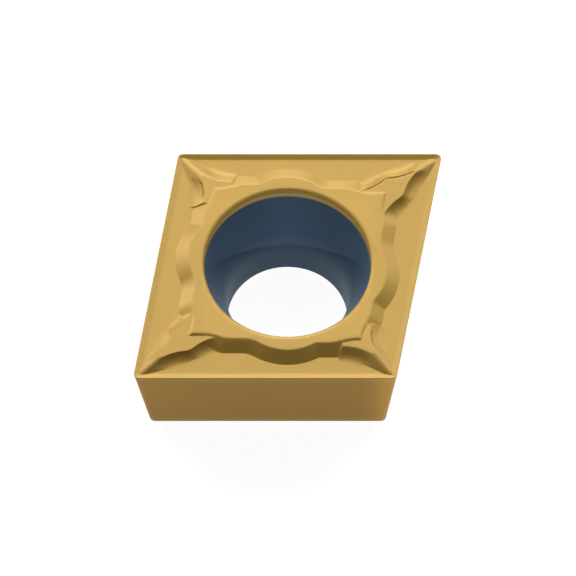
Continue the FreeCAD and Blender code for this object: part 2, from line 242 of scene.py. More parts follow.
# The lights. Each lamp has a name, azimuth and elevation, and its distance, width, height and brightness, in
# metres. A beam also has its spread in degrees and its target in millimetres.
WORLD_LEVEL = 0.06
LAMPS = (
    ("back_key", 180, 42, 0.3, 0.12, 0.14, 6.6),
    ("back_strip", 180, 5, 0.3, 0.12, 0.08, 3.0),
    ("right_back_high", 130, 42, 0.3, 0.1, 0.1, 5.5),
    ("right_back_low", 130, 12, 0.3, 0.1, 0.1, 2.8),
    ("left_back_high", 230, 42, 0.3, 0.1, 0.1, 5.9),
    ("left_back_low", 230, 12, 0.3, 0.1, 0.1, 5.6),
    ("hole_beam", 0, 25, 0.03, 0.0062, 0.0026, 0.21, 1, (0, 2.64, 2.9)),
    ("corner_beam", 10, 5, 0.05, 0.0014, 0.0046, 0.35, 2, (4.1, -4.6, 2.0)),
)

# The camera. The view's width and centre are in millimetres, and its distance is in metres.
VIEW_ELEVATION = 60
VIEW_WIDTH = 21.13
VIEW_CENTRE = (0.02, -0.693, 3.57)
CAMERA_DISTANCE = 0.3


def blended_min(first, second, blend):
    """The lower of two heights, rounded over where they are within the blend of each other."""
    near = np.maximum(blend - np.abs(first - second), 0) / blend
    return np.minimum(first, second) - near * near * blend / 4


def blended_max(first, second, blend):
    """The higher of two heights, with a small fillet where they meet."""
    return -blended_min(-first, -second, blend)


def lowest(parts, blend):
    """The lowest of several surfaces, with rounded edges."""
    height = parts[0]
    for part in parts[1:]:
        height = blended_min(height, part, blend)
    return height


def diagonal_coordinates(x, y):
    """Along the long diagonal and along the short one."""
    cos, sin = math.cos(HALF_ANGLE), math.sin(HALF_ANGLE)
    return x * cos + y * sin, y * cos - x * sin


def plan_point(along_long, along_short):
    """The way back from diagonal coordinates."""
    cos, sin = math.cos(HALF_ANGLE), math.sin(HALF_ANGLE)
    return along_long * cos - along_short * sin, along_long * sin + along_short * cos


def side_coordinates(x, y):
    """Along the nearest side from its acute corner, and in from its edge."""
    along_long, along_short = diagonal_coordinates(x, y)
    side_x, side_y = plan_point(np.abs(along_long), np.abs(along_short))
    return MIDDLE - side_x, INSCRIBED_RADIUS - side_y


def nose_radius_at(inset):
    """The corners' radius on the outline that lies so far inside the cutting edge."""
    share = np.clip((inset - HONE) / LAND, 0, 1)
    at_hone = NOSE_RADIUS - np.minimum(inset, HONE)
    return at_hone + (FLOOR_NOSE_RADIUS - at_hone) * share


def rounded_inset(along, inset, opening):
    """How far inside the cutting edge a point lies, counting the round of one corner."""
    found = inset.copy()
    near = along < 2 * NOSE_RADIUS / math.tan(opening) + FLOOR_INSET
    along, inset = along[near], inset[near]
    least, most = np.full(along.shape, -NOSE_RADIUS / 2), np.full(along.shape, 2 * FLOOR_INSET)
    for _ in range(INSET_HALVINGS):
        middle = (least + most) / 2
        radius = nose_radius_at(middle)
        centre = middle + radius
        centre_along = centre / math.tan(opening)
        in_round = np.hypot(along - centre_along, inset - centre) - radius
        outside = np.where(along < centre_along, in_round, middle - inset) > 0
        most = np.where(outside, middle, most)
        least = np.where(outside, least, middle)
    found[near] = (least + most) / 2
    return found


def edge_inset(along, inset):
    """How far inside the cutting edge a point lies, counting the noses at both ends of the side."""
    by_acute = rounded_inset(along, inset, HALF_ANGLE)
    return rounded_inset(SIDE_LENGTH - along, by_acute, OBTUSE_HALF_ANGLE)


def base_surface(along, inset):
    """The hone, the land and the floor."""
    depth = edge_inset(along, inset)
    to_hone = np.clip(1 - depth / HONE, 0, 2)
    hone = THICKNESS - HONE_DROP * to_hone * to_hone
    land = THICKNESS - LAND_DROP * (depth - HONE) / LAND
    slope = blended_min(hone, land, FOOT_BLEND)
    floor = np.full(depth.shape, FLOOR_LEVEL)
    part = np.where(depth < HONE, 0, np.where(depth < FLOOR_INSET, 1, 2))
    return blended_max(slope, floor, FOOT_BLEND), part


def joint(drop, radius):
    """Where the bend beside the bulge starts, as a distance from the side's middle, and its turn."""
    total = BULGE_RADIUS + radius
    turn = math.acos(1 - drop / total)
    return total * math.sin(turn), turn


def half_boss_offset(from_middle, inset, flat_inset, joint_radius):
    """How far outside the boss's top a point lies, over the bulge, the bend and the flat of one half."""
    run, turn = joint(flat_inset - BULGE_INSET, joint_radius)
    bulge_depth = BULGE_INSET + BULGE_RADIUS - inset
    on_bulge = np.hypot(from_middle, bulge_depth) - BULGE_RADIUS
    on_bend = joint_radius - np.hypot(from_middle - run, inset - flat_inset + joint_radius)
    round_part = np.where(np.arctan2(from_middle, bulge_depth) < turn, on_bulge, on_bend)
    return np.where(from_middle < run, round_part, flat_inset - inset)


def scallop_offset(along, inset, start, tip_inset, radius):
    """The same beside one of the hollow arcs that end a side of the boss."""
    return radius - np.hypot(along - start, inset - tip_inset + radius)


def boss_surface(along, inset, blend=EDGE_BLEND):
    """The boss: its flat top, the walls along the side, and the hollow walls towards the corners."""
    to_acute = MIDDLE - along
    acute_side = half_boss_offset(np.maximum(to_acute, 0), inset, ACUTE_FLAT_INSET, ACUTE_JOINT_RADIUS)
    obtuse_side = half_boss_offset(np.maximum(-to_acute, 0), inset, OBTUSE_FLAT_INSET, OBTUSE_JOINT_RADIUS)
    side = np.where(to_acute > 0, acute_side, obtuse_side)

    tip_along = ACUTE_TIP_INSET / math.tan(HALF_ANGLE) + ACUTE_TIP_FLAT
    acute_scallop = scallop_offset(along, inset, tip_along, ACUTE_TIP_INSET, ACUTE_SCALLOP_RADIUS)
    acute_end = np.where(along < tip_along, ACUTE_TIP_INSET - inset, acute_scallop)
    end_along = SIDE_LENGTH - OBTUSE_TIP_INSET * math.tan(HALF_ANGLE)
    obtuse_end = scallop_offset(along, inset, end_along, OBTUSE_TIP_INSET, OBTUSE_SCALLOP_RADIUS)
    past_acute_bend = to_acute > joint(ACUTE_FLAT_INSET - BULGE_INSET, ACUTE_JOINT_RADIUS)[0]
    past_obtuse_bend = -to_acute > joint(OBTUSE_FLAT_INSET - BULGE_INSET, OBTUSE_JOINT_RADIUS)[0]
    end = np.where(past_acute_bend, acute_end, np.where(past_obtuse_bend, obtuse_end, FAR_INSIDE))

    rise = (BOSS_LEVEL - FLOOR_LEVEL) / BOSS_WALL_RUN
    top = np.full(along.shape, BOSS_LEVEL)
    side_wall, end_wall = BOSS_LEVEL - rise * side, BOSS_LEVEL - rise * end
    walls = blended_min(side_wall, end_wall, BOSS_CORNER_BLEND)
    return blended_min(top, walls, blend), np.argmin([top, side_wall, end_wall], axis=0)


def scoop_surface(along, inset, scoop, slope):
    """One scoop's height over the floor: a rounded foot and a sloping wall. Within the foot it is below 0."""
    centre_along, centre_inset, radius = scoop
    foot_height = SCOOP_FOOT_RADIUS * (1 - math.cos(slope))
    wall_foot = radius - (ISLAND_HEIGHT - foot_height) / math.tan(slope)
    foot_run = SCOOP_FOOT_RADIUS * math.sin(slope)
    past_flat = np.hypot(along - centre_along, inset - centre_inset) - wall_foot + foot_run
    on_foot = np.clip(past_flat, 0, foot_run)
    foot = SCOOP_FOOT_RADIUS - np.sqrt(SCOOP_FOOT_RADIUS ** 2 - on_foot ** 2)
    return foot + np.maximum(past_flat - foot_run, 0) * math.tan(slope) + np.minimum(past_flat, 0)


def groove_sides(along, inset, form, side):
    """The two slopes of the fine groove that follows each scoop's rim, and fades out at its ends."""
    sides = []
    outside_rim, outer_run, inner_run, depth = form["groove_size"]
    on_this_side = side == form["grooved_side"]
    for (centre_along, centre_inset, radius), (start, end) in zip(form["scoops"], form["grooves"]):
        fade_in = np.clip((along - start) / GROOVE_FADE, 0, 1)
        fade_out = np.clip((end - along) / GROOVE_FADE, 0, 1)
        depth_share = fade_in * fade_out * on_this_side
        past_middle = np.hypot(along - centre_along, inset - centre_inset) - radius - outside_rim
        lift = GROOVE_CLEAR - (GROOVE_CLEAR + depth) * depth_share
        rise = depth * np.where(past_middle > 0, past_middle / inner_run, -past_middle / outer_run)
        slope = FLOOR_LEVEL + ISLAND_HEIGHT + lift + rise
        sides.append(np.where(past_middle > 0, slope, BOSS_LEVEL))
        sides.append(np.where(past_middle > 0, BOSS_LEVEL, slope))
    return sides


def island_surface(along, inset, form, side, blend=EDGE_BLEND):
    """An island: its flat top, the spur's ramp, facets and knee, its end, the grooves and the scoops."""
    cos, sin = math.cos(form["opening"]), math.sin(form["opening"])
    inward = along * cos + inset * sin - form["start"]
    across = along * sin - inset * cos
    flare_cos, flare_sin = math.cos(form["flare"]), math.sin(form["flare"])
    widening = form["crest_half_width"] - form["foot_half_width"]
    facet_run = form["ramp"] * flare_sin - widening * flare_cos
    facet = (inward * flare_sin - (across - form["foot_half_width"]) * flare_cos) / facet_run
    knee = (inset - form["knee"]) / KNEE_WALL_RUN
    parts = [
        np.ones(along.shape),
        inward / form["ramp"],
        np.maximum(facet, knee),
        (form["end"] - along) / ISLAND_END_RUN,
    ]
    parts = [FLOOR_LEVEL + ISLAND_HEIGHT * part for part in parts]
    scoops = [FLOOR_LEVEL + scoop_surface(along, inset, scoop, form["slope"]) for scoop in form["scoops"]]
    grooves = groove_sides(along, inset, form, side)
    height = lowest(parts + grooves, blend)
    height = blended_min(height, lowest(scoops, SCOOP_RIDGE_BLEND), blend)
    return height, np.argmin(parts + scoops + grooves, axis=0)


def relief(x, y, side):
    """The height of the insert's upper side over the plan, and a number for the surface that forms it."""
    along, inset = side_coordinates(x, y)
    surfaces = [
        base_surface(along, inset),
        boss_surface(along, inset),
        island_surface(along, inset, ACUTE_ISLAND, side),
        island_surface(SIDE_LENGTH - along, inset, OBTUSE_ISLAND, side),
    ]
    heights = [height for height, _ in surfaces]
    base, raised = heights[:2]
    for island in heights[2:]:
        above_floor = np.clip((np.minimum(raised, island) - FLOOR_LEVEL) / JOIN_BLEND, 0, 1)
        below_top = np.clip((FLOOR_LEVEL + ISLAND_HEIGHT - np.maximum(raised, island)) / JOIN_BLEND, 0, 1)
        raised = blended_max(raised, island, FOOT_BLEND + JOIN_BLEND * above_floor * below_top)
    height = blended_max(base, raised, FOOT_BLEND)
    owner = np.argmax(heights, axis=0)
    part = np.choose(owner, [number for _, number in surfaces])
    return height, owner * SURFACE_PARTS + part


def sharp_relief(x, y, side):
    """The height of the same surfaces without their rounded edges."""
    along, inset = side_coordinates(x, y)
    return np.maximum.reduce([
        base_surface(along, inset)[0],
        boss_surface(along, inset, SHARP)[0],
        island_surface(along, inset, ACUTE_ISLAND, side, SHARP)[0],
        island_surface(SIDE_LENGTH - along, inset, OBTUSE_ISLAND, side, SHARP)[0],
    ])


def part_number(points, side):
    """The number of the surface at each point of an array of plan points."""
    return relief(points[:, 0], points[:, 1], side)[1]


def side_at(x, y):
    """Which side points lie by."""
    along_long, along_short = diagonal_coordinates(x, y)
    return np.where(along_long * along_short < 0, ASLANT, np.where(along_long > 0, BACK, FRONT))


def outline_quarter(inscribed):
    """The back side's outline from the long diagonal to the short one, with half of each nose."""
    ends = []
    for opening, corner, way in ((HALF_ANGLE, MIDDLE, 1), (OBTUSE_HALF_ANGLE, OBTUSE_CORNER, -1)):
        scale = inscribed / INSCRIBED_RADIUS
        centre_x = corner * scale - way * NOSE_RADIUS / math.tan(opening)
        centre = np.array([centre_x, inscribed - NOSE_RADIUS])
        steps = np.linspace(math.pi / 2 - opening, 0, ARC_POINTS)
        ends.append(centre + NOSE_RADIUS * np.stack([way * np.sin(steps), np.cos(steps)], 1))
    acute, obtuse = ends[0], ends[1][::-1]
    count = int(SIDE_LENGTH / OUTLINE_STEP)
    share = np.linspace(0, 1, count)[1:-1, None]
    straight = acute[-1] * (1 - share) + obtuse[0] * share
    return np.concatenate([acute, straight, obtuse])


def circle_quarter(radius):
    """The quarter of a circle about the hole's axis from the short diagonal back to the long one."""
    angles = HALF_ANGLE + np.linspace(math.pi / 2, 0, HOLE_STEPS + 1)
    return radius * np.stack([np.cos(angles), np.sin(angles)], 1)


def between(start, end, spacing):
    """Evenly spaced points between two others, which are left out."""
    count = max(2, int(np.linalg.norm(end - start) / spacing) + 1)
    share = np.linspace(0, 1, count)[1:-1, None]
    return start * (1 - share) + end * share


def quarter_border(outline, circle, spacing):
    """The closed border of a quarter: the outline, the short diagonal, the circle, the long diagonal."""
    return np.concatenate([
        outline,
        between(outline[-1], circle[0], spacing),
        circle,
        between(circle[-1], outline[0], spacing),
    ])


def spaced(points, clear, kept=()):
    """The points that keep a distance from those kept before them, found through a grid of cells."""
    cells = {}
    for point in kept:
        cells.setdefault((int(point[0] // clear), int(point[1] // clear)), []).append(point)
    chosen = []
    for point in points:
        column, row = int(point[0] // clear), int(point[1] // clear)
        near = [
            other
            for i in (column - 1, column, column + 1)
            for j in (row - 1, row, row + 1)
            for other in cells.get((i, j), ())
        ]
        if all(math.hypot(point[0] - other[0], point[1] - other[1]) >= clear for other in near):
            chosen.append(point)
            cells.setdefault((column, row), []).append(point)
    return np.array(chosen).reshape(-1, 2)


def inside_quarter(points, margin):
    """Which points lie inside the upper side's quarter, at least the margin from its border."""
    along_long, along_short = diagonal_coordinates(points[:, 0], points[:, 1])
    along, inset = side_coordinates(points[:, 0], points[:, 1])
    return (
        (along_long > margin)
        & (along_short > margin)
        & (edge_inset(along, inset) > margin)
        & (np.hypot(points[:, 0], points[:, 1]) > RIM_REACH + margin)
    )


def scan_grid(step):
    """The plan points of a square grid over the back quarter, as rows and columns."""
    columns = np.arange(OBTUSE_CORNER, MIDDLE + step, step)
    rows = np.arange(0, INSCRIBED_RADIUS + step, step)
    return np.stack(np.meshgrid(columns, rows), axis=-1)


def find_creases(side):
    """Points on the lines where one surface of the relief meets another."""
    grid = scan_grid(SCAN_STEP)
    numbers = part_number(grid.reshape(-1, 2), side).reshape(grid.shape[:2])
    starts, ends = [], []
    for first, second in (
        ((slice(None), slice(0, -1)), (slice(None), slice(1, None))),
        ((slice(0, -1), slice(None)), (slice(1, None), slice(None))),
    ):
        differ = numbers[first] != numbers[second]
        starts.append(grid[first][differ])
        ends.append(grid[second][differ])
    start, end = np.concatenate(starts), np.concatenate(ends)
    number = part_number(start, side)
    for _ in range(CREASE_HALVINGS):
        middle = (start + end) / 2
        same = (part_number(middle, side) == number)[:, None]
        start = np.where(same, middle, start)
        end = np.where(same, end, middle)
    return (start + end) / 2


def find_junctions(side):
    """Points where three surfaces of the relief meet, to a cell of the scan's squares."""
    grid = scan_grid(SCAN_STEP)
    numbers = part_number(grid.reshape(-1, 2), side).reshape(grid.shape[:2])
    corners = np.stack([numbers[:-1, :-1], numbers[1:, :-1], numbers[:-1, 1:], numbers[1:, 1:]])
    corners.sort(axis=0)
    kinds = 1 + (np.diff(corners, axis=0) != 0).sum(axis=0)
    found = []
    offsets = np.arange(JUNCTION_CELLS + 1) * SCAN_STEP / JUNCTION_CELLS
    square = np.stack(np.meshgrid(offsets, offsets), axis=-1)
    for corner in grid[:-1, :-1][kinds >= 3]:
        points = corner + square
        part = part_number(points.reshape(-1, 2), side).reshape(square.shape[:2])
        for i in range(JUNCTION_CELLS):
            for j in range(JUNCTION_CELLS):
                if len(set(part[i:i + 2, j:j + 2].ravel())) >= 3:
                    found.append(points[i, j] + SCAN_STEP / JUNCTION_CELLS / 2)
    return np.array(found).reshape(-1, 2)


def beside_creases(points, side):
    """A point on each side of every crease point, square to the crease."""
    number = part_number(points + CREASE_NUDGE, side)
    towards = np.zeros(points.shape)
    for angle in np.linspace(0, 2 * math.pi, CREASE_RAYS + 1)[:-1]:
        ray = np.array([math.cos(angle), math.sin(angle)])
        same = part_number(points + ray * CREASE_SIDE / 2, side) == number
        towards += np.where(same[:, None], ray, -ray)
    length = np.linalg.norm(towards, axis=1)
    clear = length > CLEAR_RAYS
    step = towards[clear] / length[clear, None] * CREASE_SIDE
    return np.concatenate([points[clear] + step, points[clear] - step])


def triangulate(border, points):
    """Triangles over the inside of a closed border, with the points as corners."""
    every = np.concatenate([border, points])
    count = len(border)
    loop = [(i, (i + 1) % count) for i in range(count)]
    result = delaunay_2d_cdt([Vector(p) for p in every], loop, [], INSIDE_TRIANGLES, SAME_POINT)
    return np.array([v[:] for v in result[0]]), np.array(result[2])


def upper_quarter(side):
    """The mesh of the upper side's back quarter, with the grooves of the given side."""
    border = quarter_border(outline_quarter(INSCRIBED_RADIUS), circle_quarter(RIM_REACH), CREASE_STEP)
    creases = find_creases(side)
    creases = creases[inside_quarter(creases, BESIDE_CLEAR)]
    junctions = find_junctions(side)
    junctions = spaced(junctions[inside_quarter(junctions, BESIDE_CLEAR)], JUNCTION_CLEAR)
    on_crease = np.concatenate([junctions, spaced(creases, ALONG_CLEAR, junctions)])
    beside = beside_creases(on_crease, side)
    beside = beside[inside_quarter(beside, BESIDE_CLEAR)]
    beside = spaced(beside, BESIDE_CLEAR, np.concatenate([on_crease, border]))
    fine = np.concatenate([on_crease, beside])
    grid = scan_grid(OPEN_STEP)
    grid[1::2, :, 0] += OPEN_STEP / 2
    grid = grid.reshape(-1, 2)
    grid = spaced(grid[inside_quarter(grid, CREASE_CLEAR)], CREASE_CLEAR, np.concatenate([fine, border]))
    flat, faces = triangulate(border, np.concatenate([fine, grid]))
    height = relief(flat[:, 0], flat[:, 1], side)[0]
    return np.column_stack([flat, height]), faces


def seat_quarter(outline):
    """The mesh of the flat seat's back quarter, which faces down."""
    border = quarter_border(outline, circle_quarter(SEAT_HOLE_RADIUS), SEAT_STEP)
    flat, faces = triangulate(border, np.zeros((0, 2)))
    return np.column_stack([flat, np.zeros(len(flat))]), faces[:, ::-1]


def strip(rows):
    """The faces between rows of points that follow each other."""
    count = len(rows[0])
    faces = []
    for row in range(len(rows) - 1):
        for i in range(count - 1):
            a, b = row * count + i, row * count + i + 1
            faces.append((a, a + count, b + count, b))
    return np.concatenate(rows), faces


def flank_quarter():
    """The relieved flank from the cutting edge down to the seat, and the seat's outline."""
    sections = [(THICKNESS - HONE_DROP, INSCRIBED_RADIUS)]
    for level in (THICKNESS - 2 * HONE, *FLANK_LEVELS, SEAT_EDGE):
        sections.append((level, SEAT_RADIUS + (INSCRIBED_RADIUS - SEAT_RADIUS) * level / THICKNESS))
    sections.append((0, SEAT_RADIUS - SEAT_EDGE))
    rows = []
    for level, inscribed in sections:
        outline = outline_quarter(inscribed)
        rows.append(np.column_stack([outline, np.full(len(outline), level)]))
    points, faces = strip(rows)
    return points, faces, outline


def hole_profile():
    """The hole's section from the rim's top down to the seat, as radius and level."""
    rim_level = BOSS_LEVEL - RIM_RADIUS
    rim = [
        (RIM_REACH - RIM_RADIUS * math.sin(turn), rim_level + RIM_RADIUS * math.cos(turn))
        for turn in np.linspace(0, math.pi / 2, ARC_POINTS)
    ]
    mouth = [
        (MOUTH_RADIUS, rim_level - 2 * EDGE_HOLD),
        (MOUTH_RADIUS, MOUTH_LEVEL + EDGE_HOLD),
        (MOUTH_RADIUS - EDGE_HOLD / 2, MOUTH_LEVEL),
    ]
    sink_radius, sink_level = MOUTH_RADIUS - MOUTH_CHAMFER, MOUTH_LEVEL - MOUTH_CHAMFER
    lip = [(sink_radius + EDGE_HOLD, sink_level + EDGE_HOLD), (sink_radius, sink_level - EDGE_HOLD)]
    slope = math.atan2(sink_radius - BORE_RADIUS, sink_level - SINK_CORNER)
    wall_top = SINK_CORNER - SINK_BLEND * math.tan(slope / 2)
    blend = [
        (BORE_RADIUS + SINK_BLEND * (1 - math.cos(turn)), wall_top + SINK_BLEND * math.sin(turn))
        for turn in np.linspace(slope, 0, ARC_POINTS)
    ]
    sink = [
        tuple(np.array(lip[-1]) * (1 - share) + np.array(blend[0]) * share)
        for share in (0.25, 0.5, 0.75)
    ]
    foot = [(BORE_RADIUS, BORE_CHAMFER + EDGE_HOLD), (BORE_RADIUS, BORE_CHAMFER)]
    chamfer = [(SEAT_HOLE_RADIUS - EDGE_HOLD / 2, EDGE_HOLD / 2), (SEAT_HOLE_RADIUS, 0)]
    return rim + mouth + lip + sink + blend + foot + chamfer


def hole_quarter():
    """The hole's wall in the back quarter."""
    rows = []
    for radius, level in hole_profile():
        circle = circle_quarter(radius)
        rows.append(np.column_stack([circle, np.full(len(circle), level)]))
    return strip(rows)


def mirrored_quarters(points, faces, ways):
    """Quarters made from the back one by mirroring, each given by its way along the diagonals."""
    every_point, every_face = [], []
    for long_way, short_way in ways:
        along_long, along_short = diagonal_coordinates(points[:, 0], points[:, 1])
        x, y = plan_point(long_way * along_long, short_way * along_short)
        start = sum(len(p) for p in every_point)
        every_point.append(np.column_stack([x, y, points[:, 2]]))
        turned = long_way * short_way < 0
        for face in faces:
            numbers = [int(n) + start for n in face]
            every_face.append(numbers[::-1] if turned else numbers)
    return np.concatenate(every_point), every_face


def surface_normals(mesh):
    """The mesh's own normals, with exact ones over the upper side and the seat, so that flats shade flat."""
    normals = np.array([v.normal[:] for v in mesh.vertices])
    points = np.array([v.co[:] for v in mesh.vertices]) / MM
    along, inset = side_coordinates(points[:, 0], points[:, 1])
    upper = (
        (edge_inset(along, inset) > HONE / 2)
        & (points[:, 2] > FLOOR_LEVEL - NORMAL_DEPTH)
        & (np.hypot(points[:, 0], points[:, 1]) > RIM_REACH + NORMAL_CLEAR)
    )
    x, y = points[upper, 0], points[upper, 1]
    side = side_at(x, y)
    step = NORMAL_STEP
    slope_x = (relief(x + step, y, side)[0] - relief(x - step, y, side)[0]) / (2 * step)
    slope_y = (relief(x, y + step, side)[0] - relief(x, y - step, side)[0]) / (2 * step)
    exact = np.column_stack([-slope_x, -slope_y, np.ones(len(x))])
    normals[upper] = exact / np.linalg.norm(exact, axis=1)[:, None]
    normals[points[:, 2] < MERGE] = (0, 0, -1)
    return normals


def mark_edges(mesh):
    """Store how far each point is rounded off an edge, from 0 on open surfaces to 1 on a crease."""
    points = np.array([v.co[:] for v in mesh.vertices]) / MM
    on_top = np.hypot(points[:, 0], points[:, 1]) > RIM_REACH
    on_top &= points[:, 2] > FLOOR_LEVEL - LAND_DROP
    x, y = points[:, 0], points[:, 1]
    sharp = sharp_relief(x, y, side_at(x, y))
    rounding = np.clip((sharp - points[:, 2]) / (EDGE_BLEND / 4), 0, 1)
    # The coatings paint a highlight on the edges by this mask.
    mask = mesh.attributes.new(EDGE_MASK, "FLOAT", "POINT")
    mask.data.foreach_set("value", np.where(on_top, rounding, 0))


def finish_number(face):
    """A face's finish: the hole's below its mouth, the flanks' with their painted shade, or that of the top
    and the seat.
    """
    centre = face.center / MM
    reach = math.hypot(centre.x, centre.y)
    if reach < MOUTH_RADIUS and BORE_CHAMFER < centre.z < MOUTH_LEVEL:
        return HOLE_FINISH
    if reach > RIM_REACH and abs(face.normal.z) < FLANK_TURN:
        return SHADED_FLANK_FINISH
    return MOULDED_FINISH


def make_insert(finishes):
    """The dressed insert: upper side, flanks, seat and hole as one closed mesh with its three finishes."""
    flank_points, flank_faces, seat_outline = flank_quarter()
    back_way, front_way, slanted_ways = (1, 1), (-1, -1), ((1, -1), (-1, 1))
    all_ways = (back_way, front_way) + slanted_ways
    pieces = [
        (*upper_quarter(BACK), (back_way,)),
        (*upper_quarter(FRONT), (front_way,)),
        (*upper_quarter(ASLANT), slanted_ways),
        (flank_points, flank_faces, all_ways),
        (*seat_quarter(seat_outline), all_ways),
        (*hole_quarter(), all_ways),
    ]
    points, faces = [], []
    for piece_points, piece_faces, ways in pieces:
        all_points, all_faces = mirrored_quarters(piece_points, piece_faces, ways)
        start = sum(len(p) for p in points)
        points.append(all_points)
        faces.extend([n + start for n in face] for face in all_faces)
    mesh = bpy.data.meshes.new("coated_insert")
    mesh.from_pydata((np.concatenate(points) * MM).tolist(), [], faces)
    join_seams(mesh)
    mesh.polygons.foreach_set("use_smooth", [True] * len(mesh.polygons))
    mesh.normals_split_custom_set_from_vertices(surface_normals(mesh).tolist())
    mark_edges(mesh)
    for finish in finishes:
        mesh.materials.append(finish)
    mesh.polygons.foreach_set("material_index", [finish_number(face) for face in mesh.polygons])
    insert = bpy.data.objects.new("coated_insert", mesh)
    bpy.context.scene.collection.objects.link(insert)
    return insert


def join_seams(mesh):
    """Join the points that the quarters and surfaces share, and turn all faces outward."""
    work = bmesh.new()
    work.from_mesh(mesh)
    bmesh.ops.remove_doubles(work, verts=work.verts, dist=MERGE * MM)
    bmesh.ops.recalc_face_normals(work, faces=work.faces)
    work.to_mesh(mesh)
    work.free()
    mesh.update()


def add_node(tree, kind, **values):
    """A node with some of its inputs set, given by their names with _ for spaces."""
    node = tree.nodes.new("ShaderNode" + kind)
    for name, value in values.items():
        node.inputs[name.replace("_", " ")].default_value = value
    return node


def calculate(tree, operation, first, second):
    """A math node on two values, each a number or an output of another node."""
    node = add_node(tree, "Math")
    node.operation = operation
    for socket, value in zip(node.inputs, (first, second)):
        if isinstance(value, bpy.types.NodeSocket):
            tree.links.new(value, socket)
        else:
            socket.default_value = value
    return node.outputs["Value"]


def mixed_colour(tree, factor, first, second):
    """A mix of two colours by a mask."""
    node = tree.nodes.new("ShaderNodeMix")
    node.data_type = "RGBA"
    tree.links.new(factor, node.inputs["Factor"])
    for number, colour in zip(MIX_COLOURS, (first, second)):
        node.inputs[number].default_value = (*colour, 1)
    return node.outputs[MIX_RESULT]


def new_group(name, inputs, outputs):
    """A shader node group with its sockets, and its input and output nodes."""
    group = bpy.data.node_groups.new(name, "ShaderNodeTree")
    for label, value in inputs.items():
        socket = group.interface.new_socket(label, in_out="INPUT", socket_type="NodeSocketFloat")
        socket.default_value = value
    for label, kind in outputs.items():
        group.interface.new_socket(label, in_out="OUTPUT", socket_type="NodeSocket" + kind)
    return group, group.nodes.new("NodeGroupInput"), group.nodes.new("NodeGroupOutput")


def sintered_grain_group():
    """Fine grain and soft mottling of a pressed and coated surface: a tone near 1 and a normal."""
    group, given, result = new_group(
        "sintered_grain", GOLD_GRAIN, {"Tone": "Float", "Normal": "Vector"}
    )
    place = add_node(group, "TexCoord").outputs["Object"]
    grain = add_node(group, "TexNoise", Detail=3.0, Roughness=0.6)
    mottle = add_node(group, "TexNoise", Detail=2.0, Roughness=0.5)
    for noise, scale in ((grain, "Grain Scale"), (mottle, "Mottle Scale")):
        group.links.new(place, noise.inputs["Vector"])
        group.links.new(given.outputs[scale], noise.inputs["Scale"])
    swing = calculate(group, "SUBTRACT", mottle.outputs["Fac"], 0.5)
    swing = calculate(group, "MULTIPLY", swing, given.outputs["Mottle"])
    tone = calculate(group, "ADD", swing, 1.0)
    bump = add_node(group, "Bump", Distance=GRAIN_HEIGHT)
    group.links.new(given.outputs["Grain Depth"], bump.inputs["Strength"])
    group.links.new(grain.outputs["Fac"], bump.inputs["Height"])
    group.links.new(tone, result.inputs["Tone"])
    group.links.new(bump.outputs["Normal"], result.inputs["Normal"])
    return group


def edge_highlight_group():
    """A mask of the rounded edges for a painted highlight, broken up a little by noise."""
    group, given, result = new_group("painted_edge_highlight", GOLD_HIGHLIGHT_MIX, {"Mask": "Float"})
    edge = add_node(group, "Attribute")
    edge.attribute_name = EDGE_MASK
    place = add_node(group, "TexCoord").outputs["Object"]
    patches = add_node(group, "TexNoise", Scale=HIGHLIGHT_BREAK_UP_SCALE, Detail=2.0)
    group.links.new(place, patches.inputs["Vector"])
    broken = calculate(group, "MULTIPLY", patches.outputs["Fac"], given.outputs["Break Up"])
    kept = calculate(group, "SUBTRACT", 1.0, broken)
    mask = calculate(group, "MULTIPLY", edge.outputs["Fac"], kept)
    mask = calculate(group, "MULTIPLY", mask, given.outputs["Amount"])
    group.links.new(mask, result.inputs["Mask"])
    return group


def place_group(tree, group, values):
    """A node that places a group in a material with the material's own values."""
    node = tree.nodes.new("ShaderNodeGroup")
    node.node_tree = group
    for socket, value in values.items():
        node.inputs[socket].default_value = value
    return node


def coating(name, colour, highlight_colour, shine, grain, highlight_mix):
    """A thin coating: its colour, mottled, with a paler painted highlight on rounded edges, and the carbide's
    fine grain.
    """
    material = bpy.data.materials.new(name)
    material.use_nodes = True
    tree = material.node_tree
    shader = tree.nodes["Principled BSDF"]
    for socket, value in shine.items():
        shader.inputs[socket].default_value = value
    grain_node = place_group(tree, sintered_grain, grain)
    highlight_node = place_group(tree, painted_edge_highlight, highlight_mix)
    # Painted highlight: the colour is mixed towards a paler one on rounded edges.
    highlighted = mixed_colour(tree, highlight_node.outputs["Mask"], colour, highlight_colour)
    toned = add_node(tree, "HueSaturation")
    tree.links.new(highlighted, toned.inputs["Color"])
    tree.links.new(grain_node.outputs["Tone"], toned.inputs["Value"])
    tree.links.new(toned.outputs["Color"], shader.inputs["Base Color"])
    tree.links.new(grain_node.outputs["Normal"], shader.inputs["Normal"])
    return material


def floor_material():
    """White to the camera and in reflections, and a plain pale floor to all other light."""
    material = bpy.data.materials.new("pale_floor")
    material.use_nodes = True
    tree = material.node_tree
    shader = tree.nodes["Principled BSDF"]
    shader.inputs["Base Color"].default_value = (FLOOR_TONE, FLOOR_TONE, FLOOR_TONE, 1)
    shader.inputs["Roughness"].default_value = FLOOR_ROUGHNESS
    shader.inputs["Specular IOR Level"].default_value = 0.0
    path = add_node(tree, "LightPath")
    seen = calculate(tree, "ADD", path.outputs["Is Camera Ray"], path.outputs["Is Glossy Ray"])
    seen = calculate(tree, "ADD", seen, path.outputs["Is Transmission Ray"])
    seen = calculate(tree, "MINIMUM", seen, 1.0)
    glow = calculate(tree, "MULTIPLY", seen, FLOOR_GLOW)
    shader.inputs["Emission Color"].default_value = (1, 1, 1, 1)
    tree.links.new(glow, shader.inputs["Emission Strength"])
    return material


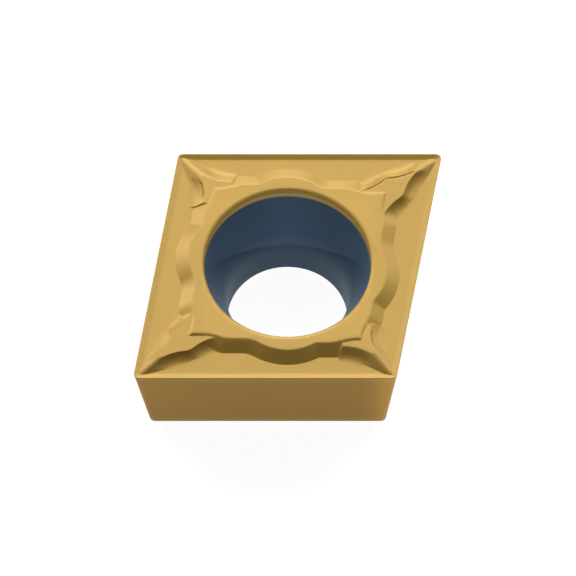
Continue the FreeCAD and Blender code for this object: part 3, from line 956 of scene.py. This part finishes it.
def make_floor():
    """A large plain slab under the insert. It is open under the seat, which a camera below can see."""
    square = [(x * FLOOR_REACH, y * FLOOR_REACH) for x, y in ((-1, -1), (1, -1), (1, 1), (-1, 1))]
    opening = SEAT_RADIUS - FLOOR_LAP
    long_half, short_half = opening / math.sin(HALF_ANGLE), opening / math.cos(HALF_ANGLE)
    tips = ((-long_half, 0), (0, -short_half), (long_half, 0), (0, short_half))
    rhombus = [plan_point(*tip) for tip in tips]
    turns = [2 * math.pi * i / HOLE_STEPS for i in range(HOLE_STEPS)]
    disc = [(SEAT_HOLE_RADIUS * math.cos(turn), SEAT_HOLE_RADIUS * math.sin(turn)) for turn in turns]

    # The points: the lower square, the upper one, the opening's rhombus and the disc under the hole.
    bottom = [(x, y, -FLOOR_DEPTH) for x, y in square]
    top = [(x, y, -FLOOR_GAP) for x, y in square + rhombus + disc]
    count = len(square)
    faces = [tuple(range(count))[::-1], tuple(range(3 * count, 3 * count + HOLE_STEPS))]
    for i in range(count):
        after = (i + 1) % count
        for low, high in ((0, count), (count, 2 * count)):
            faces.append((low + i, low + after, high + after, high + i))

    mesh = bpy.data.meshes.new("studio_floor")
    mesh.from_pydata((np.array(bottom + top) * MM).tolist(), [], faces)
    mesh.materials.append(floor_material())
    floor = bpy.data.objects.new("studio_floor", mesh)
    bpy.context.scene.collection.objects.link(floor)


def direction(azimuth, elevation):
    """A unit vector, with azimuth turned from the front (-Y) towards +X and elevation above the floor."""
    turn, rise = math.radians(azimuth), math.radians(elevation)
    return Vector((math.sin(turn) * math.cos(rise), -math.cos(turn) * math.cos(rise), math.sin(rise)))


def aim(thing, towards):
    """Turn a lamp or camera to look at a point, with its own Y upward."""
    thing.rotation_euler = (towards - thing.location).to_track_quat("-Z", "Y").to_euler()


def make_lamp(name, azimuth, elevation, distance, width, height, brightness, spread=180, target=(0, 0, 0)):
    """A rectangular lamp that faces a point. Brightness is how light its surface looks."""
    lamp = bpy.data.lights.new(name, "AREA")
    lamp.shape = "RECTANGLE"
    lamp.size, lamp.size_y = width, height
    lamp.spread = math.radians(spread)
    lamp.energy = brightness * width * height * math.pi
    thing = bpy.data.objects.new(name, lamp)
    thing.location = Vector(target) * MM + direction(azimuth, elevation) * distance
    thing.visible_camera = False
    aim(thing, Vector(target) * MM)
    bpy.context.scene.collection.objects.link(thing)


def light_world():
    """A faint even light from all round."""
    scene = bpy.context.scene
    scene.world = scene.world or bpy.data.worlds.new("studio")
    scene.world.use_nodes = True
    sky = scene.world.node_tree.nodes["Background"]
    sky.inputs["Color"].default_value = (1, 1, 1, 1)
    sky.inputs["Strength"].default_value = WORLD_LEVEL


def make_camera():
    """The photograph's parallel view, from the front and 60 degrees above."""
    camera = bpy.data.cameras.new("front_camera")
    camera.type = "ORTHO"
    camera.ortho_scale = VIEW_WIDTH * MM
    thing = bpy.data.objects.new("front_camera", camera)
    thing.location = Vector(VIEW_CENTRE) * MM + direction(0, VIEW_ELEVATION) * CAMERA_DISTANCE
    aim(thing, Vector(VIEW_CENTRE) * MM)
    bpy.context.scene.collection.objects.link(thing)
    bpy.context.scene.camera = thing


sintered_grain = sintered_grain_group()
# A painted highlight along the rounded edges, which the coatings mix in.
painted_edge_highlight = edge_highlight_group()
moulded_gold = coating("moulded_gold_coating", GOLD, GOLD_HIGHLIGHT_COLOUR, MOULDED_SHINE, GOLD_GRAIN, GOLD_HIGHLIGHT_MIX)
# The flanks' coating is the same gold painted darker, as painted shade.
shaded_flank_gold = coating("flank_gold_painted_shade", FLANK_GOLD_SHADED, GOLD_HIGHLIGHT_COLOUR, FLANK_SHINE, GOLD_GRAIN, GOLD_HIGHLIGHT_MIX)
hole_blue = coating("hole_blue_grey_coating", BLUE_GREY, BLUE_GREY_HIGHLIGHT_COLOUR, HOLE_SHINE, HOLE_GRAIN, HOLE_HIGHLIGHT_MIX)

insert = make_insert((moulded_gold, shaded_flank_gold, hole_blue))
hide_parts("insert_body")
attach(insert, "root")

make_floor()
for lamp_values in LAMPS:
    make_lamp(*lamp_values)
light_world()
bpy.context.scene.view_settings.view_transform = "Standard"
make_camera()
